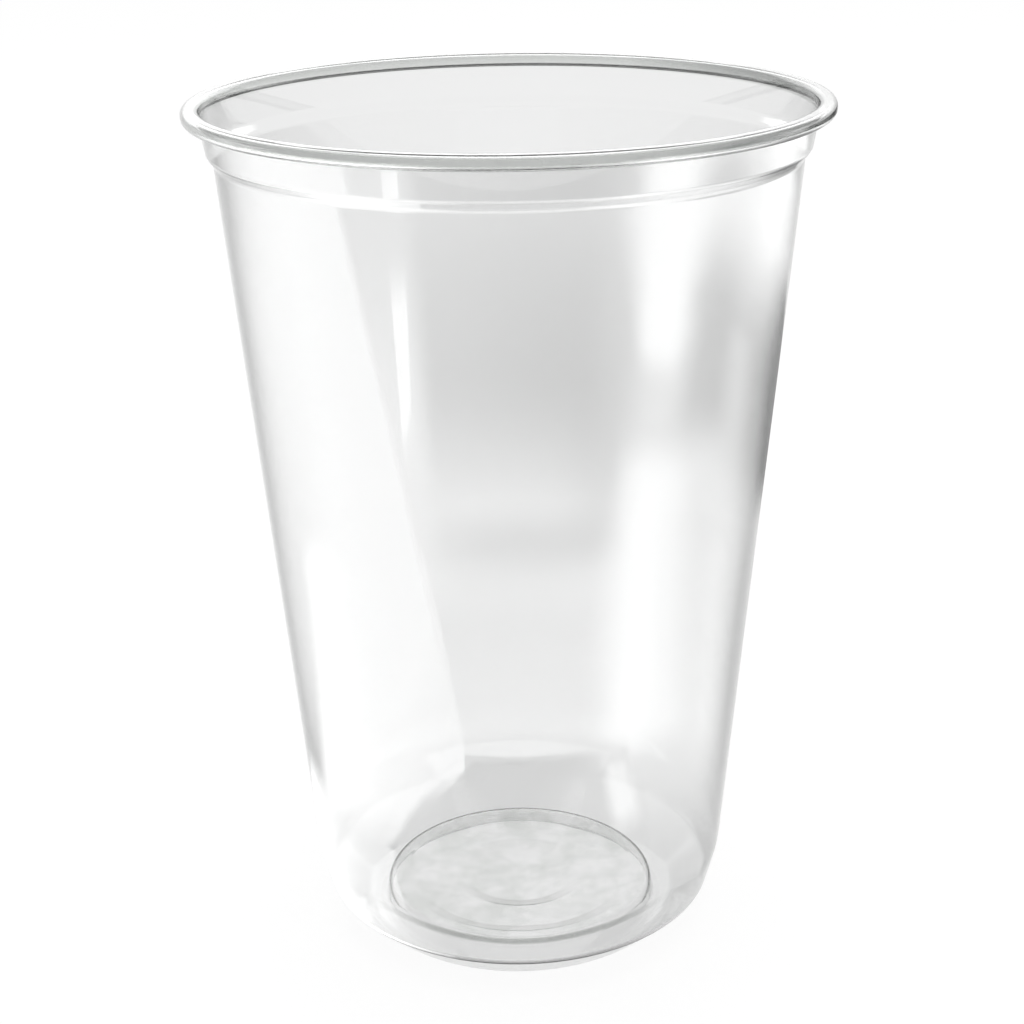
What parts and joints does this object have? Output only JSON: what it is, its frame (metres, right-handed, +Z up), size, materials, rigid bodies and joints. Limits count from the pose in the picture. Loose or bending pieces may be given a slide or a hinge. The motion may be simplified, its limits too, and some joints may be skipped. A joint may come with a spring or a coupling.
{
  "type": "disposable drinks cup",
  "caption": "Tall clear plastic disposable cup for cold drinks, tapered to a rounded base, with a rolled rim, a stacking shoulder and a pushed-up floor.",
  "frame": {"origin": "centre of the foot ring, on the surface that the cup stands on", "axes": "+Z up along the cup's axis, from the foot to the rim; the cup is round, so +X and +Y are any two directions at right angles"},
  "size_m": [0.098, 0.098, 0.137],
  "materials": {
    "clear_plastic": "clear, glossy"
  },
  "bodies": {
    "root": {"cup": "clear_plastic"}
  },
  "joints": []
}
